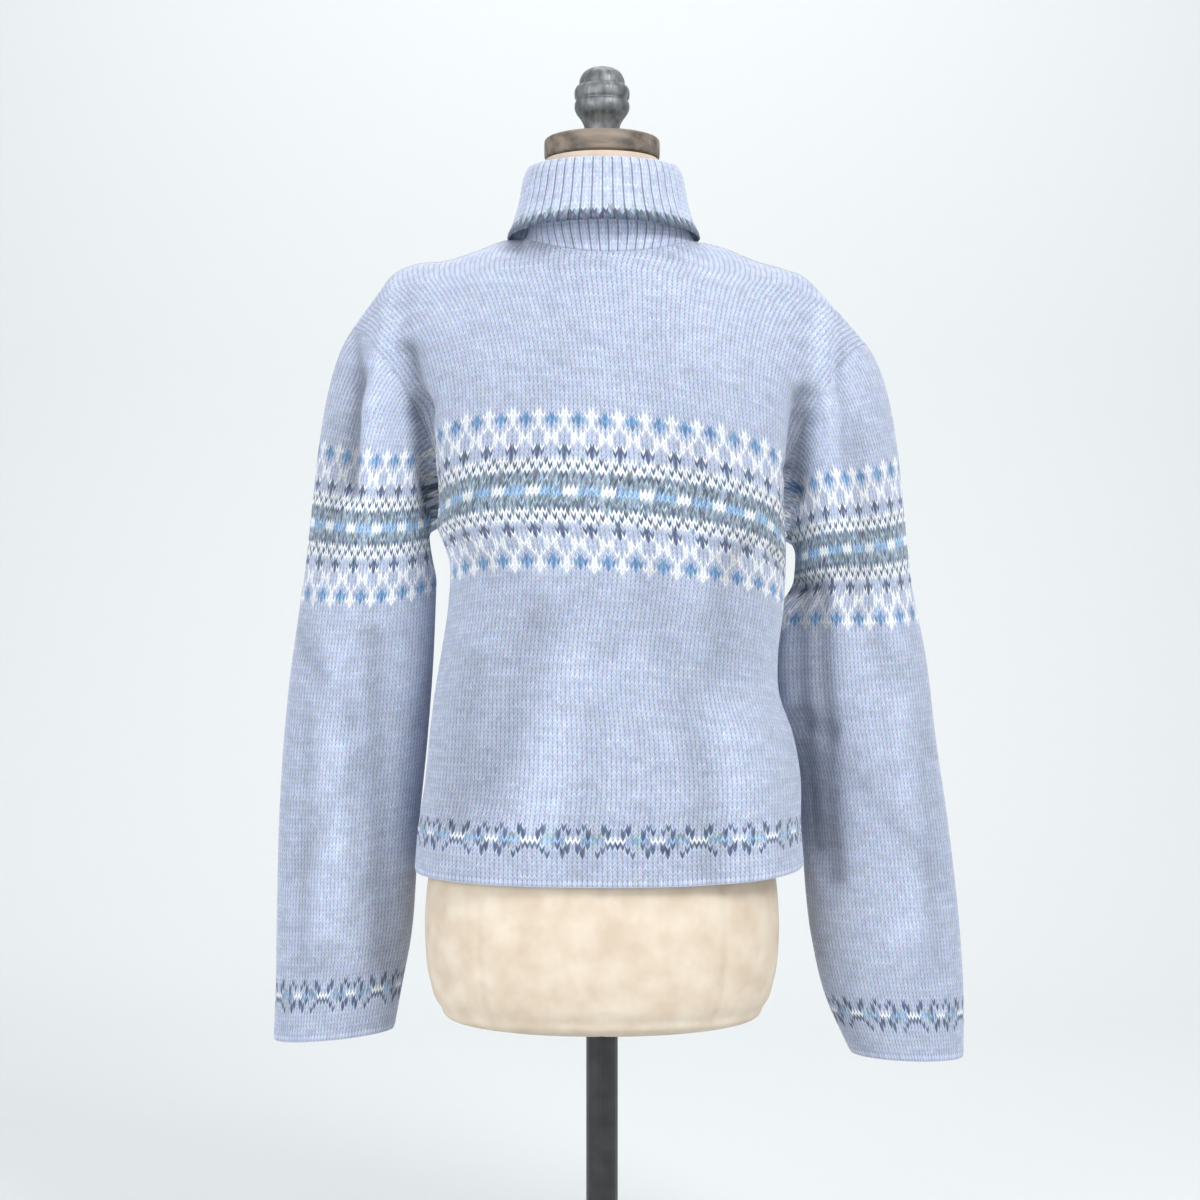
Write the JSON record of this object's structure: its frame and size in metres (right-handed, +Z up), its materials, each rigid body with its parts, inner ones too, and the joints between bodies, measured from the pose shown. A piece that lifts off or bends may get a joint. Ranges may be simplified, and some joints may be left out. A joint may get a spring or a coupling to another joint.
{
  "type": "fair isle turtleneck sweater on a limbless dress form",
  "caption": "Lavender-blue Fair Isle turtleneck sweater with a folded rib collar, worn by a limbless dress form on a pole stand and seen best from the back.",
  "frame": {"origin": "middle of the round base's underside, on the floor", "axes": "+Z is up, -Y is the wearer's back (the side in the picture), +X is the wearer's right"},
  "size_m": [0.6277, 0.32, 1.1511],
  "materials": {
    "knit": "matte",
    "rib_knit": "matte",
    "form_cover": "matte",
    "turned_wood": "satin",
    "cast_metal": "satin",
    "painted_metal": "satin"
  },
  "bodies": {
    "root": {"back": "knit", "front": "knit", "sleeve_left": "knit", "sleeve_right": "knit", "collar": "rib_knit", "form_torso": "form_cover", "neck_cap": "turned_wood", "finial": "cast_metal", "stand_pole": "painted_metal", "stand_base": "painted_metal"}
  },
  "joints": []
}
